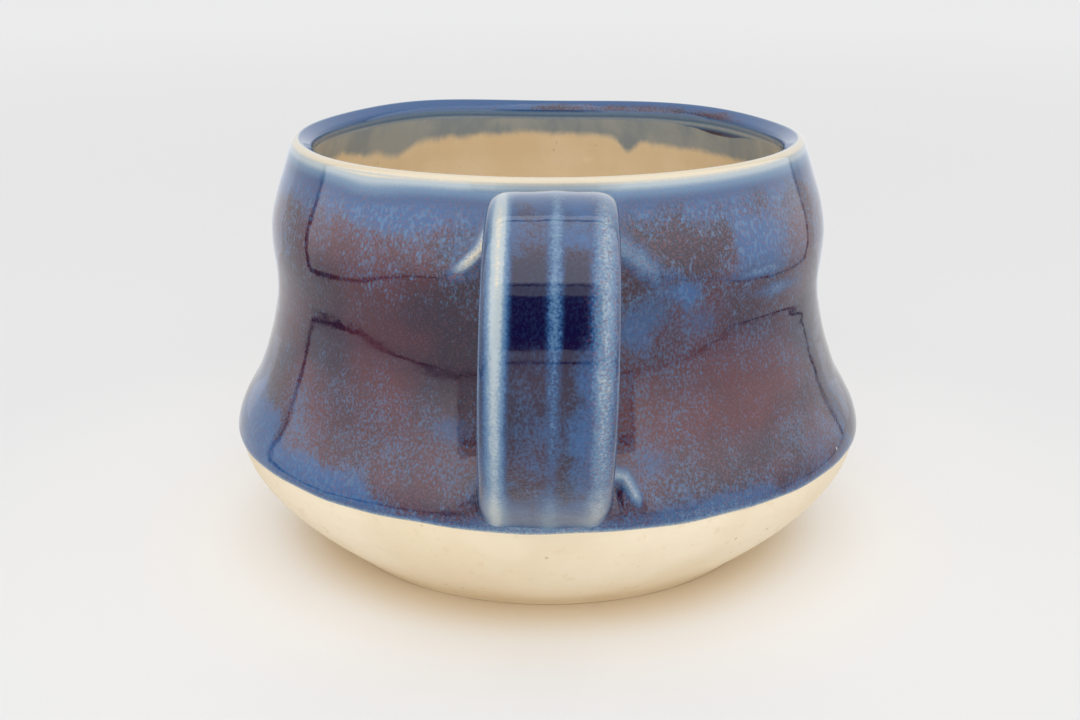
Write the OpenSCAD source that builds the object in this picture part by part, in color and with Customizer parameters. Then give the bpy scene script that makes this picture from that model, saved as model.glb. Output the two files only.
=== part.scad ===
// Wide stoneware mug: a wheel-thrown vessel, a pulled strap handle with a clay coil worked in at each
// root, and the fired glaze coats. Every height is measured from the table and every radius from the
// vessel's axis. The axis is Z, the foot stands on Z = 0 and the handle points along -Y.

/* [Vessel] */
// Height of the clay lip's crest
height = 79.5; // [76:0.5:86]
// Radius of the lip's crest
rim_r = 47.8; // [46:0.2:50]
// Lean of the outer wall at the lip, in degrees
rim_lean = 15; // [10:1:24]
// Height of the rounded shoulder under the lip
shoulder_z = 62; // [59:0.5:66]
// Radius of the shoulder
shoulder_r = 53; // [51.5:0.1:55]
// Height of the waist
waist_z = 53; // [48:0.5:56]
// Radius of the waist
waist_r = 52.4; // [50:0.1:53]
// Height at which the skirt below the waist is steepest
flare_z = 35; // [33:0.5:38]
// Radius of the skirt at that height
flare_r = 56.5; // [55.5:0.1:58]
// Slant of the skirt at that height, in degrees from upright
flare_slant = 21.5; // [18:0.5:28]
// Height of the widest line of the belly
belly_z = 23.6; // [22:0.1:26]
// Radius of the belly
belly_r = 61.5; // [60:0.5:64]
// Slant of the bowl where it leaves the foot, in degrees from upright
bowl_slant = 52; // [46:1:56]
// Radius of the foot's flat face
foot_r = 42.2; // [38:0.2:44]

/* [Wall] */
// Thickness of the thrown wall
wall_t = 4.2; // [3.4:0.1:5]
// Extra thickness of the wall at the belly
belly_extra = 0.6; // [0:0.1:1.5]
// Radius that rounds both edges of the lip
lip_round = 0.9; // [0.6:0.1:1.2]
// Distance between the lip's outer and inner edge roundings
lip_w = 1.7; // [1.2:0.1:2.4]
// Slope of the lip's face towards the inside, in degrees
lip_slope = 32; // [20:1:40]
// Thickness of the floor above the table
floor_t = 7; // [6:0.5:9]
// Radius of the flat part of the floor
floor_r = 26; // [18:1:32]

/* [Foot] */
// Height of the bevel round the foot
foot_bevel = 0.8; // [0.4:0.1:1.6]
// Width of the ring that the mug stands on
foot_ring_w = 6; // [4:0.5:9]
// Depth of the hollow that is trimmed inside the ring
foot_hollow = 1.4; // [0.8:0.1:2.2]
// Width of the slope between the ring and the hollow
foot_slope_w = 1.6; // [1:0.1:2.5]

/* [Handle] */
// Width of the strap at its upper root
strap_w = 19.2; // [17:0.2:22]
// Width of the strap at its lower root
strap_low_w = 20.4; // [18:0.2:23]
// Thickness of the strap at its upper root
strap_t = 6.6; // [6:0.1:7.4]
// Thickness of the strap at its lower root
strap_low_t = 6; // [5.4:0.1:6.8]
// Spacing of the ribs along the strap's outer face
rib_pitch = 7.4; // [6:0.1:8]
// Height of the ribs above the grooves between them
rib_h = 0.4; // [0:0.1:0.8]
// Drop from the lip's crest to the middle of the upper root
upper_root_drop = 6.5; // [6.4:0.1:10]
// Sideways place of the upper root
upper_root_x = 1; // [-1:0.1:2]
// Rise of the strap where it leaves the wall, in degrees above level
upper_rise = 28; // [22:1:32]
// How far the strap is drawn out before it turns down
upper_pull = 37; // [32:1:44]
// Rise from the belly's widest line to the middle of the lower root
lower_root_rise = 4.6; // [4:0.1:7]
// Sideways place of the lower root
lower_root_x = -0.5; // [-2:0.1:1]
// Rise of the strap above the lower root, in degrees above level
lower_rise = 21; // [16:1:34]
// How far the strap is drawn out above the lower root
lower_pull = 39; // [32:1:44]

/* [Joint coils] */
// Length of strap that each coil takes up
coil_reach = 8; // [5:0.5:10]
// Spread of a coil at either side of the strap, along its upper edge
coil_side_top = 2; // [1:0.2:4]
// Spread of a coil at either side of the strap, along its lower edge
coil_side_foot = 5.4; // [3:0.2:7]
// Spread of a coil over the wall past the strap's outer face
coil_outer = 1.4; // [0.8:0.1:2]
// Spread of a coil over the wall past the strap's inner face
coil_inner = 3.6; // [2:0.1:5]

/* [Glaze] */
// Thickness of the blue coat on the wall and handle
glaze_t = 0.5; // [0.3:0.05:0.8]
// Thickness of the liner inside
liner_t = 0.4; // [0.3:0.05:0.6]
// Drop from the belly's widest line to the line where the blue coat ends above the bare bowl
glaze_line_drop = 0.7; // [0.2:0.1:2]
// Width of the rolled edge of the coat
glaze_edge_w = 2.4; // [1.5:0.1:4]
// How far the blue coat runs down inside, from the lip's crest to the liner
rim_run = 9.5; // [6:0.5:13]

/* [Hidden] */
$fn = 120;

upper_root_z = height - upper_root_drop;
lower_root_z = belly_z + lower_root_rise;
glaze_line_z = belly_z - glaze_line_drop;
liner_top_z = height - rim_run;

// Clearance between a joint coil and the wall it is worked onto
seat_gap = 0.1;
// Overrun of a cutting solid past what it cuts
overrun = 10;

wall_steps = 9;      // points along one stretch of the wall
floor_steps = 10;    // points round the curve between floor and wall
round_steps = 5;     // points round each edge of the lip
ring_points = 36;    // points round the strap's section
strap_steps = 22;    // rings along the strap
coil_steps = 7;      // rings along each joint coil
seat_steps = 4;      // rings across the seat of a coil
squareness = 4;      // 2 makes the strap's section an ellipse, more makes it squarer

clay = "#e7d6ba";
blue_glaze = "#4a4a68";
rim_blue = "#575972";
liner = "#cbaf87";

// A curve of radius over height, as cubic stretches between stations [height, radius, slope].
function share_of(a, b, z) = (z - a[0]) / (b[0] - a[0]);
function stretch_r(a, b, z) =
    let (t = share_of(a, b, z), h = b[0] - a[0])
    a[1] * (1 - 3 * t * t + 2 * t * t * t) + b[1] * (3 * t * t - 2 * t * t * t)
    + a[2] * h * (t - 2 * t * t + t * t * t) + b[2] * h * (t * t * t - t * t);
function stretch_slope(a, b, z) =
    let (t = share_of(a, b, z), h = b[0] - a[0])
    (b[1] - a[1]) * 6 * (t - t * t) / h + a[2] * (1 - 4 * t + 3 * t * t) + b[2] * (3 * t * t - 2 * t);
function stretch_at(curve, z, i = 0) =
    (z <= curve[i + 1][0] || i + 2 >= len(curve)) ? i : stretch_at(curve, z, i + 1);
function curve_r(curve, z) = let (i = stretch_at(curve, z)) stretch_r(curve[i], curve[i + 1], z);
function curve_slope(curve, z) = let (i = stretch_at(curve, z)) stretch_slope(curve[i], curve[i + 1], z);

// Heights that sample a curve from one station to the last
function curve_heights(curve) = [
    for (i = [0 : len(curve) - 2])
        for (k = [0 : wall_steps - 1])
            curve[i][0] + (curve[i + 1][0] - curve[i][0]) * k / wall_steps,
    curve[len(curve) - 1][0]];

// A point of the curve, lifted square to it: outwards with side 1, towards the axis with side -1
function curve_point(curve, z, lift, side = 1) =
    let (s = curve_slope(curve, z), k = sqrt(1 + s * s))
    [curve_r(curve, z) + side * lift / k, z - side * lift * s / k];

// A point on a rounding: centre, radius and direction in degrees
function on_round(centre, r, angle) = centre + r * [cos(angle), sin(angle)];

// Outer face of the clay
lip_centre = [rim_r, height - lip_round];
lip_start = on_round(lip_centre, lip_round, rim_lean);
outer_curve = [
    [foot_bevel, foot_r + foot_bevel, tan(bowl_slant)],
    [belly_z, belly_r, 0],
    [flare_z, flare_r, -tan(flare_slant)],
    [waist_z, waist_r, 0],
    [shoulder_z, shoulder_r, 0],
    [lip_start[1], lip_start[0], -tan(rim_lean)]];

// Inner face of the clay, from the belly up to the lip
inner_lip_centre = lip_centre - lip_w * [cos(lip_slope), sin(lip_slope)];
inner_lip_start = on_round(inner_lip_centre, lip_round, 180 + rim_lean);
inner_curve = [
    [belly_z, belly_r - wall_t - belly_extra, 0],
    [flare_z, flare_r - wall_t / cos(flare_slant), -tan(flare_slant)],
    [waist_z, waist_r - wall_t, 0],
    [shoulder_z, shoulder_r - wall_t, 0],
    [inner_lip_start[1], inner_lip_start[0], -tan(rim_lean)]];

// The lip from its outer edge, over the sloping face, to its inner edge
function lip_points(lift) = concat(
    [for (k = [0 : round_steps])
        on_round(lip_centre, lip_round + lift, rim_lean + (90 + lip_slope - rim_lean) * k / round_steps)],
    [for (k = [0 : round_steps])
        on_round(inner_lip_centre, lip_round + lift,
                 90 + lip_slope + (90 + rim_lean - lip_slope) * k / round_steps)]);

// The floor and the curve up to the belly, from the axis outwards
floor_rise = belly_z - floor_t;
floor_spread = belly_r - wall_t - belly_extra - floor_r;
function floor_points(lift) = concat(
    [[0, floor_t + lift]],
    [for (k = [0 : floor_steps - 1])
        let (a = 90 * k / floor_steps)
        [floor_r + (floor_spread - lift) * sin(a), belly_z - (floor_rise - lift) * cos(a)]]);

function reversed(list) = [for (i = [len(list) - 1 : -1 : 0]) list[i]];
function between(list, low, high) = [for (z = list) if (z > low && z < high) z];

// Height and thickness of the blue coat over its rolled lower edge, as shares of its own sizes
edge_shares = [[0, 0.3], [0.15, 0.9], [0.4, 1.15], [0.7, 1.1], [1, 1]];
edge_heights = [for (e = edge_shares) glaze_line_z + glaze_edge_w * e[0]];
edge_lifts = [for (i = [0 : len(edge_shares) - 1]) [edge_heights[i], glaze_t * edge_shares[i][1]]];
glaze_even_z = glaze_line_z + glaze_edge_w;

// Heights at which the clay and the coats on it share their points
coat_heights = concat(
    edge_heights,
    between(curve_heights(outer_curve), glaze_even_z, lip_start[1]),
    [lip_start[1]]);
outer_heights = concat(
    [foot_bevel],
    between(curve_heights(outer_curve), foot_bevel, glaze_line_z),
    coat_heights);
liner_heights = concat(between(curve_heights(inner_curve), 0, liner_top_z), [liner_top_z]);
run_heights = concat(
    [liner_top_z],
    between(curve_heights(inner_curve), liner_top_z, inner_lip_start[1]),
    [inner_lip_start[1]]);
inner_heights = concat(liner_heights, between(run_heights, liner_top_z, height));

module thrown_body() {
    hollow_r = foot_r - foot_ring_w;
    color(clay)
        rotate_extrude()
            polygon(concat(
                [for (z = outer_heights) curve_point(outer_curve, z, 0)],
                lip_points(0),
                reversed([for (z = inner_heights) curve_point(inner_curve, z, 0, -1)]),
                reversed(floor_points(0)),
                [[0, foot_hollow],
                 [hollow_r - foot_slope_w, foot_hollow],
                 [hollow_r, 0],
                 [foot_r, 0]]));
}

module outer_glaze() {
    color(blue_glaze)
        difference() {
            rotate_extrude()
                polygon(concat(
                    [for (z = coat_heights) curve_point(outer_curve, z, 0)],
                    reversed([for (z = coat_heights) curve_point(outer_curve, z, lookup(z, edge_lifts))])));
            coat_window(root_foot(0, glaze_t));
            coat_window(root_foot(1, glaze_t));
        }
}

// The opening in the blue coat that lets a handle root reach the clay
module coat_window(foot) {
    rotate([90, 0, 0])
        linear_extrude(height = belly_r + overrun)
            polygon(foot);
}

// The blue coat thins out inside the lip, down to the liner's thickness
function run_lift(z) = lookup(z, [[liner_top_z, liner_t], [inner_lip_start[1], glaze_t]]);

module rim_glaze() {
    color(rim_blue)
        rotate_extrude()
            polygon(concat(
                lip_points(glaze_t),
                reversed([for (z = run_heights) curve_point(inner_curve, z, run_lift(z), -1)]),
                [for (z = run_heights) curve_point(inner_curve, z, 0, -1)],
                reversed(lip_points(0))));
}

module liner_glaze() {
    color(liner)
        rotate_extrude()
            polygon(concat(
                floor_points(liner_t),
                [for (z = liner_heights) curve_point(inner_curve, z, liner_t, -1)],
                reversed([for (z = liner_heights) curve_point(inner_curve, z, 0, -1)]),
                reversed(floor_points(0))));
}

// The strap's middle line, as a cubic curve in [radius, height]
upper_start = [curve_r(outer_curve, upper_root_z), upper_root_z];
lower_start = [curve_r(outer_curve, lower_root_z), lower_root_z];
spine_guides = [
    upper_start,
    upper_start + upper_pull * [cos(upper_rise), sin(upper_rise)],
    lower_start + lower_pull * [cos(lower_rise), sin(lower_rise)],
    lower_start];
function spine(t) =
    pow(1 - t, 3) * spine_guides[0] + 3 * t * pow(1 - t, 2) * spine_guides[1]
    + 3 * t * t * (1 - t) * spine_guides[2] + pow(t, 3) * spine_guides[3];
function spine_run(t) =
    let (d = 3 * pow(1 - t, 2) * (spine_guides[1] - spine_guides[0])
           + 6 * t * (1 - t) * (spine_guides[2] - spine_guides[1])
           + 3 * t * t * (spine_guides[3] - spine_guides[2]))
    d / norm(d);

// The share of the middle line that a coil takes up at each end
upper_share = coil_reach / norm(3 * (spine_guides[1] - spine_guides[0]));
lower_share = 1 - coil_reach / norm(3 * (spine_guides[3] - spine_guides[2]));

// The strap's sizes and sideways place at a share of its length
function strap_half_w(share) = (strap_w + (strap_low_w - strap_w) * share) / 2;
function strap_half_t(share) = (strap_t + (strap_low_t - strap_t) * share) / 2;
function strap_x(share) = upper_root_x + (lower_root_x - upper_root_x) * share;

// Section of the strap: [across, outwards] for each of its points, grown by lift all round
function signed_pow(v, p) = sign(v) * pow(abs(v), p);
function groove(x) = rib_h / 2 * (cos(360 * x / rib_pitch) - 1);
function section(share, lift) = [
    for (k = [0 : ring_points - 1])
        let (a = 360 * k / ring_points,
             half_t = strap_half_t(share) + lift,
             x = (strap_half_w(share) + lift) * signed_pow(cos(a), 2 / squareness),
             out = half_t * signed_pow(sin(a), 2 / squareness))
        [x, out + (out > 0 ? groove(x) * out / half_t : 0)]];

// The direction out of the strap's outer face
function spine_out(share) = let (run = spine_run(share)) [-run[1], run[0]];

// One ring of the strap, square to its middle line
function strap_ring(share, lift) =
    let (at = spine(share), out = spine_out(share))
    [for (p = section(share, lift))
        [strap_x(share) + p[0], -(at[0] + out[0] * p[1]), at[1] + out[1] * p[1]]];

// A point of the wall at a sideways and upright place, lifted level off the clay
function wall_point(at, lift) =
    let (r = curve_r(outer_curve, at[1]) + lift)
    [at[0], -sqrt(r * r - at[0] * at[0]), at[1]];

// Where the bare strap would meet the wall, end 0 being its upper root and end 1 its lower one.
// Each point is [sideways, up].
function root_at(end) = [strap_x(end), spine(end)[1]];
function root_bare(end, lift) = [for (p = strap_ring(end, lift)) [p[0], p[2]]];

// Where the coil there spreads to, or that outline shrunk towards the root's middle
function root_foot(end, lift, shrink = 1) = [
    for (p = section(end, lift))
        let (across = p[0] / (strap_half_w(end) + lift),
             out = p[1] / (strap_half_t(end) + lift),
             up = sign(spine_out(end)[1]),
             low = (1 - up * out) / 2,
             side = coil_side_top + (coil_side_foot - coil_side_top) * low,
             rise = spine_out(end)[1] * p[1] + up * out * (out > 0 ? coil_outer : coil_inner))
        root_at(end) + shrink * [p[0] + side * across, rise]];

// Rings of a coil from the wall out to the strap. Each point follows a curve that leaves the wall
// flat and meets the strap in line with it; foot_lift is the height of its foot above the clay.
function coil_rings(end, lift, foot_lift) =
    let (foot = root_foot(end, lift),
         bare = root_bare(end, lift),
         ring = strap_ring(end == 0 ? upper_share : lower_share, lift))
    [for (k = [0 : coil_steps])
        let (v = k / coil_steps)
        [for (j = [0 : ring_points - 1])
            pow(1 - v, 2) * wall_point(foot[j], foot_lift)
            + 2 * v * (1 - v) * wall_point(bare[j], foot_lift)
            + v * v * ring[j]]];

// Rings across the seat of a coil, from its middle out to its foot
function seat_rings(end) = [
    for (k = [1 : seat_steps])
        [for (p = root_foot(end, 0, k / (seat_steps + 1))) wall_point(p, seat_gap)]];
function seat_middle(end) = wall_point(root_at(end), seat_gap);

function strap_rings(lift) = [
    for (k = [0 : strap_steps])
        strap_ring(upper_share + (lower_share - upper_share) * k / strap_steps, lift)];
function sum(list, i = 0) = i == len(list) ? 0 : list[i] + sum(list, i + 1);
function middle(ring) = [for (i = [0 : 2]) sum([for (p = ring) p[i]]) / len(ring)];

// Triangles between two rings of points, and the same triangles facing the other way
function band(a, b) = [
    for (j = [0 : ring_points - 1])
        let (n = (j + 1) % ring_points)
        each [[a * ring_points + j, a * ring_points + n, b * ring_points + n],
              [a * ring_points + j, b * ring_points + n, b * ring_points + j]]];
function turned(faces) = [for (f = faces) reversed(f)];

// A solid through rings of points, closed at both ends by fans from a middle point
module loft(rings, start_middle, end_middle) {
    last = len(rings) - 1;
    hub = len(rings) * ring_points;
    polyhedron(
        points = concat([for (r = rings) each r], [start_middle, end_middle]),
        faces = concat(
            [for (i = [0 : last - 1]) each band(i, i + 1)],
            [for (j = [0 : ring_points - 1]) [hub, (j + 1) % ring_points, j]],
            [for (j = [0 : ring_points - 1])
                [hub + 1, last * ring_points + j, last * ring_points + (j + 1) % ring_points]]));
}

// A thin shell between outer and inner rings, open through the middle
module shell(outer, inner) {
    count = len(outer);
    polyhedron(
        points = [for (r = concat(outer, inner)) each r],
        faces = concat(
            [for (i = [0 : count - 2]) each band(i, i + 1)],
            [for (i = [0 : count - 2]) each turned(band(count + i, count + i + 1))],
            band(count, 0),
            band(count - 1, 2 * count - 1)));
}

module pulled_handle() {
    rings = strap_rings(0);
    color(clay)
        loft(rings, middle(rings[0]), middle(rings[strap_steps]));
}

module upper_joint_coil() {
    rings = concat(seat_rings(0), coil_rings(0, 0, seat_gap));
    color(clay)
        loft(rings, seat_middle(0), middle(strap_ring(upper_share, 0)));
}

module lower_joint_coil() {
    rings = concat(seat_rings(1), coil_rings(1, 0, seat_gap));
    color(clay)
        loft(reversed(rings), middle(strap_ring(lower_share, 0)), seat_middle(1));
}

// The coat over the strap and both coils, as one shell from wall to wall
function inner_rings(list) = [for (i = [1 : len(list) - 2]) list[i]];
function coat_rings(lift, foot_lift) = concat(
    coil_rings(0, lift, foot_lift),
    inner_rings(strap_rings(lift)),
    reversed(coil_rings(1, lift, foot_lift)));

module handle_glaze() {
    color(blue_glaze)
        shell(coat_rings(glaze_t, glaze_t), coat_rings(0, seat_gap));
}

thrown_body();
pulled_handle();
upper_joint_coil();
lower_joint_coil();
outer_glaze();
rim_glaze();
liner_glaze();
handle_glaze();
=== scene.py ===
import math
import bmesh
import bpy
import numpy as np
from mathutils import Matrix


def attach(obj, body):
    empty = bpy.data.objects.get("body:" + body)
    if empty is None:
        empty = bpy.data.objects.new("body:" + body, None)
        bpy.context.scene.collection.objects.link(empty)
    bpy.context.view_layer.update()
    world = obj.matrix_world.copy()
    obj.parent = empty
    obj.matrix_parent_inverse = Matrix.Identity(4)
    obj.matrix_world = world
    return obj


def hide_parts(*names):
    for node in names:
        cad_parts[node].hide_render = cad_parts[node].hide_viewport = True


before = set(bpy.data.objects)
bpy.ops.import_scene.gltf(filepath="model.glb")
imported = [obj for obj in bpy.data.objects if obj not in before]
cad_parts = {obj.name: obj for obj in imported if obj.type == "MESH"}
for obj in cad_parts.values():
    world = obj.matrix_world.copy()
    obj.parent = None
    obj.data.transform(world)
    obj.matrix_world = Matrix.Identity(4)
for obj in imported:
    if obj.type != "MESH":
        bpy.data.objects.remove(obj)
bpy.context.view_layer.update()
mm = 0.001
sharpAngle = math.radians(50)
handleBearing = -90  # round the axis, in degrees
handleSide = math.radians(handleBearing)
sink = 0.03  # how far the hidden face of a coat lies inside the clay
print("frame loaded")


# Helpers for curves, in millimetres. In the settings below, sizes that grow are (size, from, to), and
# others (size, middle, spread).
def smooth(low, high, value):
    t = np.clip((value - low) / (high - low), 0, 1)
    return t * t * (3 - 2 * t)


def bell(value, middle, width):
    return np.exp(-((value - middle) / width) ** 2)


def ramp(value, size, low, high):
    return size * smooth(low, high, value)


def ramps(value, parts):
    return sum(ramp(value, *part) for part in parts)


def hump(value, size, middle, width):
    return size * bell(value, middle, width)


def fading(value, size, start, reach):
    return size * np.exp(-(value + start) / reach)


def degreesFrom(theta, bearing):  # signed angle from a bearing, wrapped
    return (np.degrees(theta) - bearing + 180) % 360 - 180


def waved(theta, waves):  # round the pot: (count, size, turn)
    return sum(size * np.sin(count * theta + turn) for count, size, turn in waves)


def swelled(theta, places):  # round the pot: (bearing, spread, size)
    return sum(size * bell(degreesFrom(theta, bearing), 0, spread) for bearing, spread, size in places)


def patched(theta, z, places):  # on the wall: (bearing, spread, height, spread, size)
    return sum(size * bell(degreesFrom(theta, bearing), 0, spread) * bell(z, middle, height)
               for bearing, spread, middle, height, size in places)


def hermite(stations, z):  # radius and slope of a curve through [height, radius, slope]
    heights, radii, slopes = np.transpose(stations)
    i = np.clip(np.searchsorted(heights, z) - 1, 0, len(heights) - 2)
    h, rise, sa, sb = heights[i + 1] - heights[i], radii[i + 1] - radii[i], slopes[i], slopes[i + 1]
    t = (z - heights[i]) / h
    r = radii[i] + rise * t * t * (3 - 2 * t) + h * t * (1 - t) * (sa * (1 - t) - sb * t)
    return r, rise / h * 6 * t * (1 - t) + sa * (1 - t) * (1 - 3 * t) + sb * t * (3 * t - 2)


# The vessel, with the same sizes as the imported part
vessel = {
    "height": 79.5, "rimRadius": 47.8, "rimLean": 15, "lipRound": 0.9, "lipWidth": 1.7, "lipSlope": 32,
    "shoulder": (62, 53), "waist": (53, 52.4), "flare": (35, 56.5), "flareSlant": 21.5,
    "belly": (23.6, 61.5), "footRadius": 42.2, "footBevel": 0.8, "bowlSlant": 52,
    "wall": 4.2, "bellyExtra": 0.6, "floorHeight": 7, "floorRadius": 26,
    "ringWidth": 6, "hollowDepth": 1.4, "hollowSlope": 1.6,
    # how the pot strays from round: (waves round it, size, turn), from and to what height
    "wobble": [(2, 0.16, 0.6), (3, 0.1, 2.1), (5, 0.05, 4.0)], "wobbleFrom": (5, 60),
    # throwing rings: (spacing up the wall, size)
    "rings": [(6.1, 0.012), (2.7, 0.005)], "ringsFrom": (3, 12),
    # near the handle the wall keeps to the true radius: share and spread
    "trueAtHandle": (0.85, 26),
    # where the lip rises and dips: (bearing, spread, height)
    "lipWaves": [(88, 26, -0.9), (128, 20, 0.45), (18, 20, -0.45), (215, 22, -0.25)],
    "lipWavesFrom": (64, 79), "stillCentre": 8,
    # the lip is creamiest on the handle's side: (size, middle, spread)
    "leastCream": 0.8, "moreCream": (0.2, 0, 110),
    # steps round the pot, in degrees, closer together near the handle
    "nearHandle": 30, "fineStep": 0.3, "coarseStep": 1.2, "floorRows": 14,
}


def tangent(degrees):
    return math.tan(math.radians(degrees))


def around(centre, radius, degrees):  # points on a small rounding, as [radius, height]
    a = np.radians(degrees)
    return np.stack([centre[0] + radius * np.cos(a), centre[1] + radius * np.sin(a)], -1)


lipCentre = (vessel["rimRadius"], vessel["height"] - vessel["lipRound"])
lipStart = around(lipCentre, vessel["lipRound"], vessel["rimLean"])
innerCentre = around(lipCentre, -vessel["lipWidth"], vessel["lipSlope"])
innerStart = around(innerCentre, vessel["lipRound"], 180 + vessel["rimLean"])
flareTan = tangent(vessel["flareSlant"])
outerWall = [
    (vessel["footBevel"], vessel["footRadius"] + vessel["footBevel"], tangent(vessel["bowlSlant"])),
    (*vessel["belly"], 0), (*vessel["flare"], -flareTan), (*vessel["waist"], 0), (*vessel["shoulder"], 0),
    (lipStart[1], lipStart[0], -tangent(vessel["rimLean"]))]
wall = vessel["wall"]
walls = [wall + vessel["bellyExtra"], wall * math.hypot(1, flareTan), wall, wall]
innerWall = [(z, r - thick, slope) for (z, r, slope), thick in zip(outerWall[1:], walls)]
innerWall.append((innerStart[1], innerStart[0], -tangent(vessel["rimLean"])))


def handMade(theta, z):  # how far the thrown wall lies off its true radius
    share, spread = vessel["trueAtHandle"]
    free = 1 - share * bell(degreesFrom(theta, handleBearing), 0, spread)
    rings = sum(size * np.sin(2 * np.pi * z / pitch + theta) for pitch, size in vessel["rings"])
    off = waved(theta, vessel["wobble"]) * smooth(*vessel["wobbleFrom"], z)
    return (off + rings * smooth(*vessel["ringsFrom"], z)) * free


def placed(r, z, theta):  # outline points turned round the axis, with the hand's unevenness
    keep = smooth(0, vessel["stillCentre"], r)
    rr = r + handMade(theta, z) * keep
    lift = swelled(theta, vessel["lipWaves"]) * smooth(*vessel["lipWavesFrom"], z) * keep
    return np.stack([rr * np.cos(theta), rr * np.sin(theta), z + lift], -1)


near = vessel["nearHandle"]
theta = handleSide + np.radians(np.hstack([np.arange(-near, near, vessel["fineStep"]),
                                           np.arange(near, 360 - near, vessel["coarseStep"])]))
creamShare = vessel["leastCream"] + hump(degreesFrom(theta, handleBearing), *vessel["moreCream"])


def revolved(r, z):  # rows of points from outline points, one row per point
    return placed(np.asarray(r)[:, None], np.asarray(z)[:, None], theta[None, :])


def alongCurve(stations, z, lift):  # lifted square to the wall, outwards
    r, s = hermite(stations, z)
    lift = lift / np.sqrt(1 + s * s)
    return r + lift, z - lift * s


def addObject(name, data, place=(0, 0, 0), turns=(0, 0, 0)):
    made = bpy.data.objects.new(name, data)
    made.location, made.rotation_euler = place, np.radians(turns)
    bpy.context.scene.collection.objects.link(made)
    return made


# A surface through rows of points. A closed one joins its last row to its first.
def gridPiece(name, rows, closed, masks, material, nodes):
    rows = np.asarray(rows, float)
    count, across, _ = rows.shape
    i = np.arange(count if closed else count - 1)[:, None]
    j = np.arange(across)[None, :]
    after, beside = (i + 1) % count, (j + 1) % across
    faces = np.stack([i * across + j, i * across + beside, after * across + beside, after * across + j], -1)
    mesh = bpy.data.meshes.new(name)
    mesh.from_pydata((rows.reshape(-1, 3) * mm).tolist(), [], faces.reshape(-1, 4).tolist())
    for label, values in masks.items():
        layer = mesh.attributes.new(label, "FLOAT", "POINT")
        values = np.broadcast_to(values, (count, across)).astype(np.float32)
        layer.data.foreach_set("value", values.ravel())
    work = bmesh.new()
    work.from_mesh(mesh)
    bmesh.ops.remove_doubles(work, verts=work.verts, dist=1e-7)
    bmesh.ops.holes_fill(work, edges=work.edges, sides=0)  # the buried ends of a tube
    bmesh.ops.recalc_face_normals(work, faces=work.faces)
    work.to_mesh(mesh)
    work.free()
    mesh.shade_smooth()
    mesh.set_sharp_from_angle(angle=sharpAngle)
    piece = addObject(name, mesh)
    mesh.materials.append(material)
    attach(piece, "root")
    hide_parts(*nodes)
    print(name, "made,", len(mesh.polygons), "faces")


def bothFaces(masks):  # the hidden face of a coat repeats the masks of its outer one
    return {label: np.vstack([values, values[::-1]]) for label, values in masks.items()}


def lipArcs(lift, outerRows, innerRows):  # over both roundings of the lip, and their angles
    turn, radius = 90 + vessel["lipSlope"], vessel["lipRound"] + lift
    outerArc = np.linspace(vessel["rimLean"], turn, outerRows)
    innerArc = np.linspace(turn, 180 + vessel["rimLean"], innerRows)
    arcs = np.vstack([around(lipCentre, radius, outerArc), around(innerCentre, radius, innerArc)])
    return arcs.T, outerArc, innerArc


def floorCurve(lift, count):  # from the axis out over the floor and up to the belly
    turn = np.linspace(0, np.pi / 2, count)[:-1]
    flat = np.linspace(0, vessel["floorRadius"], vessel["floorRows"])[:-1]
    rise = vessel["belly"][0] - vessel["floorHeight"] - lift
    spread = innerWall[0][1] - vessel["floorRadius"] - lift
    r = np.hstack([flat, vessel["floorRadius"] + spread * np.sin(turn)])
    level = np.full(len(flat), vessel["floorHeight"] + lift)
    return np.stack([r, np.hstack([level, vessel["belly"][0] - rise * np.cos(turn)])])


# Shader helpers
def colour(*channels):  # a screen colour, each channel above 10, as linear light
    return (*(((value / 255 + 0.055) / 1.055) ** 2.4 for value in channels), 1)


def addNode(tree, kind, inputs=None, **settings):
    made = tree.nodes.new("ShaderNode" + kind)
    for key, value in settings.items():
        setattr(made, key, value)
    for key, value in (inputs or {}).items():
        if isinstance(value, bpy.types.NodeSocket):
            tree.links.new(value, made.inputs[key])
        else:
            made.inputs[key].default_value = value
    return made


def calc(tree, operation, *values):
    return addNode(tree, "Math", dict(enumerate(values)), operation=operation).outputs[0]


def times(tree, value, *others):
    for other in others:
        value = calc(tree, "MULTIPLY", value, other)
    return value


def weighted(tree, parts, total=0.0):  # a sum of values, each times its share
    for value, share in parts:
        total = calc(tree, "MULTIPLY_ADD", value, share, total)
    return total


def ease(tree, value, low, high, fromValue=0.0, toValue=1.0):
    inputs = {"Value": value, "From Min": low, "From Max": high, "To Min": fromValue, "To Max": toValue}
    return addNode(tree, "MapRange", inputs, interpolation_type="SMOOTHSTEP").outputs["Result"]


def blend(tree, share, a, b):
    return addNode(tree, "Mix", {0: share, 6: a, 7: b}, data_type="RGBA").outputs[2]


def noiseOf(tree, vector, scale, detail=2.0, rough=0.5, warp=0.0, drawn=None):
    if drawn:  # scaled along each axis first, so the noise comes out long or flat
        vector = addNode(tree, "VectorMath", {0: vector, 1: drawn}, operation="MULTIPLY").outputs[0]
    inputs = {"Vector": vector, "Scale": scale, "Detail": detail, "Roughness": rough, "Distortion": warp}
    return addNode(tree, "TexNoise", inputs).outputs["Fac"]


def spotsOf(tree, vector, scale, edge, centre):  # small round spots, and random values for each
    cells = addNode(tree, "TexVoronoi", {"Vector": vector, "Scale": scale})
    kinds = addNode(tree, "SeparateColor", {"Color": cells.outputs["Color"]}).outputs
    return ease(tree, cells.outputs["Distance"], edge, centre), kinds


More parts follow.
